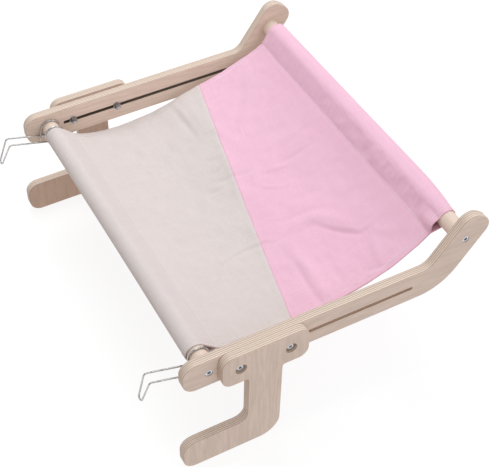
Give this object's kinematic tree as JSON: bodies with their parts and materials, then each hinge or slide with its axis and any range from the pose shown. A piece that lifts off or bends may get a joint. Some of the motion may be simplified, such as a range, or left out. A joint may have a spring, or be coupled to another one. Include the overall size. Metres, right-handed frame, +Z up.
{
  "type": "cat window perch",
  "caption": "Sill-clamped cat perch: cloth sling between two dowels on bent plywood rails, with sliding clamp brackets and swinging wire hooks.",
  "frame": {"origin": "centre of the object's bounding box in plan, at the level of the clamp brackets' feet", "axes": "+X from the wire hooks towards the raised front end, +Y from the right rail to the left rail, +Z up"},
  "size_m": [0.4944, 0.554, 0.2589],
  "materials": {
    "birch_plywood": "fine-sanded birch plywood with visible layers on the edges, matt clear coat",
    "beech_dowel": "plain sanded hardwood dowel",
    "zinc_steel": "bright zinc-plated steel",
    "brass": "machined brass",
    "spring_steel_wire": "drawn wire, nickel plated",
    "beige_cloth": "plain-woven cotton canvas, warm grey-beige",
    "pink_cloth": "plain-woven cotton canvas, pale pink"
  },
  "bodies": {
    "frame": {"right_rail": "birch_plywood", "left_rail": "birch_plywood", "rear_dowel": "beech_dowel", "front_dowel": "beech_dowel", "right_rear_dowel_bolt": "zinc_steel", "right_rear_dowel_insert": "brass", "right_front_dowel_bolt": "zinc_steel", "right_front_dowel_insert": "brass", "left_rear_dowel_bolt": "zinc_steel", "left_rear_dowel_insert": "brass", "left_front_dowel_bolt": "zinc_steel", "left_front_dowel_insert": "brass", "sling_rear_panel": "beige_cloth", "sling_front_panel": "pink_cloth"},
    "right_bracket": {"right_bracket": "birch_plywood", "right_rear_bracket_bolt": "zinc_steel", "right_rear_bracket_washer": "zinc_steel", "right_rear_bracket_nut": "zinc_steel", "right_front_bracket_bolt": "zinc_steel", "right_front_bracket_washer": "zinc_steel", "right_front_bracket_nut": "zinc_steel"},
    "left_bracket": {"left_bracket": "birch_plywood", "left_rear_bracket_bolt": "zinc_steel", "left_rear_bracket_washer": "zinc_steel", "left_rear_bracket_nut": "zinc_steel", "left_front_bracket_bolt": "zinc_steel", "left_front_bracket_washer": "zinc_steel", "left_front_bracket_nut": "zinc_steel"},
    "right_hook": {"right_wire_hook": "spring_steel_wire"},
    "left_hook": {"left_wire_hook": "spring_steel_wire"}
  },
  "joints": [
    {"name": "right_bracket_slide", "type": "slide", "parent": "frame", "child": "right_bracket", "axis": [1, 0, 0], "range_m": [-0.0128, 0.1864]},
    {"name": "left_bracket_slide", "type": "slide", "parent": "frame", "child": "left_bracket", "axis": [1, 0, 0], "range_m": [-0.0128, 0.1864]},
    {"name": "right_hook_swing", "type": "hinge", "parent": "frame", "child": "right_hook", "pos_m": [-0.15883, -0.241, 0.1665], "axis": [0, 1, 0], "range_deg": [-106, 111]},
    {"name": "left_hook_swing", "type": "hinge", "parent": "frame", "child": "left_hook", "pos_m": [-0.15883, 0.241, 0.1665], "axis": [0, 1, 0], "range_deg": [-100, 104]}
  ]
}
